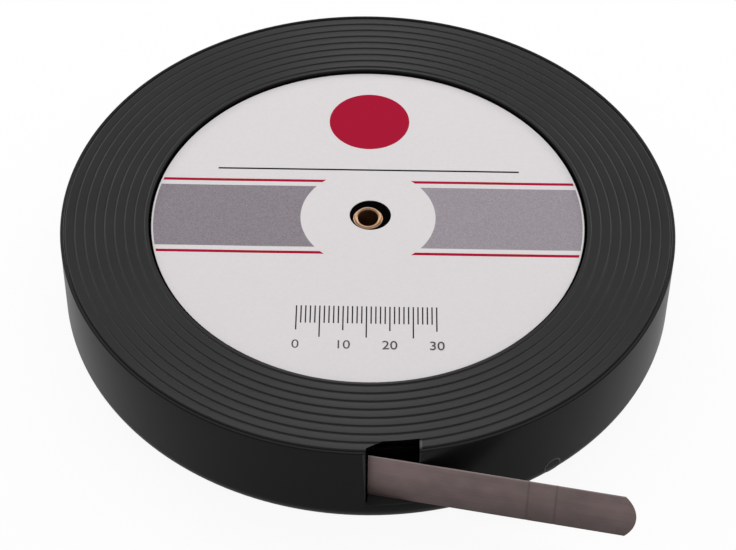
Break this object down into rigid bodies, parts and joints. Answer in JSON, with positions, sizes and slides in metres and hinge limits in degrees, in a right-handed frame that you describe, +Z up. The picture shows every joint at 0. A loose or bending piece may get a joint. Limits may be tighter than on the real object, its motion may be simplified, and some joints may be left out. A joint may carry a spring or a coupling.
{
  "type": "shim stock roll",
  "caption": "Coil of thin steel shim strip in a flat round black case with a grooved lid, a paper label and a brass eyelet; the strip's rounded end comes out of a slot in the wall.",
  "frame": {"origin": "on the eyelet's axis, in the plane of the case's foot; the eyelet bore mount sits 0.8 mm above it, at the lower end of the bore's straight wall", "axes": "+Z up through the eyelet, from the foot to the lid; the strip leaves the case at the front, on the -Y side, and runs towards +X"},
  "size_m": [0.136, 0.1435, 0.0214],
  "materials": {
    "case_plastic": "black moulded plastic, satin, with a fine mould grain",
    "lid_plastic": "black moulded plastic, satin, with turned grooves",
    "label_paper": "coated paper with grey panels and red rules",
    "eyelet_brass": "rolled brass, slightly dull",
    "strip_steel": "cold rolled spring steel with a lengthwise grain and a warm grey tone"
  },
  "bodies": {
    "case": {"case_base": "case_plastic", "case_lid": "lid_plastic", "label": "label_paper", "eyelet": "eyelet_brass"},
    "coil": {"strip_coil": "strip_steel"},
    "free_end": {"strip_end": "strip_steel"}
  },
  "joints": [
    {"name": "coil_turn", "type": "hinge", "parent": "case", "child": "coil", "pos_m": [0, 0, 0.01155], "axis": [0, 0, 1], "range_deg": [0, 19.6]},
    {"name": "strip_pull", "type": "slide", "parent": "case", "child": "free_end", "axis": [0.9829, -0.184, 0], "range_m": [0, 0.022]}
  ],
  "couplings": [
    {"joint": "strip_pull", "follows": "coil_turn", "m_per_rad": 0.064}
  ]
}
